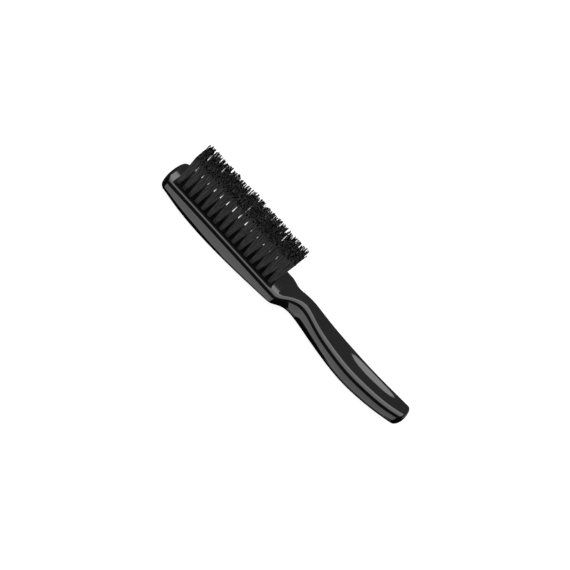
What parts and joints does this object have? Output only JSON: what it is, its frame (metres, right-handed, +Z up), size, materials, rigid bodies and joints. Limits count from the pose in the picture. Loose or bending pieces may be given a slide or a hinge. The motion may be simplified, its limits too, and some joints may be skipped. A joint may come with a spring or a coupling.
{
  "type": "fade brush",
  "caption": "Barber's fade brush: a long narrow head full of straight nylon tufts, on a slim curved neck and a palm-wide handle, moulded in one.",
  "frame": {"origin": "on the resting plane under the middle of the brush's bounding box, the brush lying on its back with its tufts up", "axes": "+X along the brush from its nose to the butt of its handle, +Z up along the tufts"},
  "size_m": [0.1888, 0.0268, 0.0348],
  "materials": {
    "moulded_body": "high-gloss black moulded plastic",
    "nylon_filament": "black nylon filament with a slight sheen",
    "anchor_wire": "flat nickel-silver anchor wire, hidden in the holes"
  },
  "bodies": {
    "root": {"handle_body": "moulded_body", "tuft_pair_right_01": "nylon_filament", "tuft_middle_01": "nylon_filament", "tuft_pair_left_01": "nylon_filament", "tuft_pair_right_02": "nylon_filament", "tuft_middle_02": "nylon_filament", "tuft_pair_left_02": "nylon_filament", "tuft_pair_right_03": "nylon_filament", "tuft_middle_03": "nylon_filament", "tuft_pair_left_03": "nylon_filament", "tuft_pair_right_04": "nylon_filament", "tuft_middle_04": "nylon_filament", "tuft_pair_left_04": "nylon_filament", "tuft_pair_right_05": "nylon_filament", "tuft_middle_05": "nylon_filament", "tuft_pair_left_05": "nylon_filament", "tuft_pair_right_06": "nylon_filament", "tuft_middle_06": "nylon_filament", "tuft_pair_left_06": "nylon_filament", "tuft_pair_right_07": "nylon_filament", "tuft_middle_07": "nylon_filament", "tuft_pair_left_07": "nylon_filament", "tuft_pair_right_08": "nylon_filament", "tuft_middle_08": "nylon_filament", "tuft_pair_left_08": "nylon_filament", "tuft_pair_right_09": "nylon_filament", "tuft_middle_09": "nylon_filament", "tuft_pair_left_09": "nylon_filament", "tuft_pair_right_10": "nylon_filament", "tuft_middle_10": "nylon_filament", "tuft_pair_left_10": "nylon_filament", "tuft_pair_right_11": "nylon_filament", "tuft_middle_11": "nylon_filament", "tuft_pair_left_11": "nylon_filament", "tuft_pair_right_12": "nylon_filament", "tuft_middle_12": "nylon_filament", "tuft_pair_left_12": "nylon_filament", "tuft_pair_right_13": "nylon_filament", "tuft_middle_13": "nylon_filament", "tuft_pair_left_13": "nylon_filament", "tuft_pair_right_14": "nylon_filament", "tuft_middle_14": "nylon_filament", "tuft_pair_left_14": "nylon_filament", "tuft_pair_right_15": "nylon_filament", "tuft_middle_15": "nylon_filament", "tuft_pair_left_15": "nylon_filament", "tuft_pair_right_16": "nylon_filament", "tuft_middle_16": "nylon_filament", "tuft_pair_left_16": "nylon_filament"}
  },
  "joints": []
}
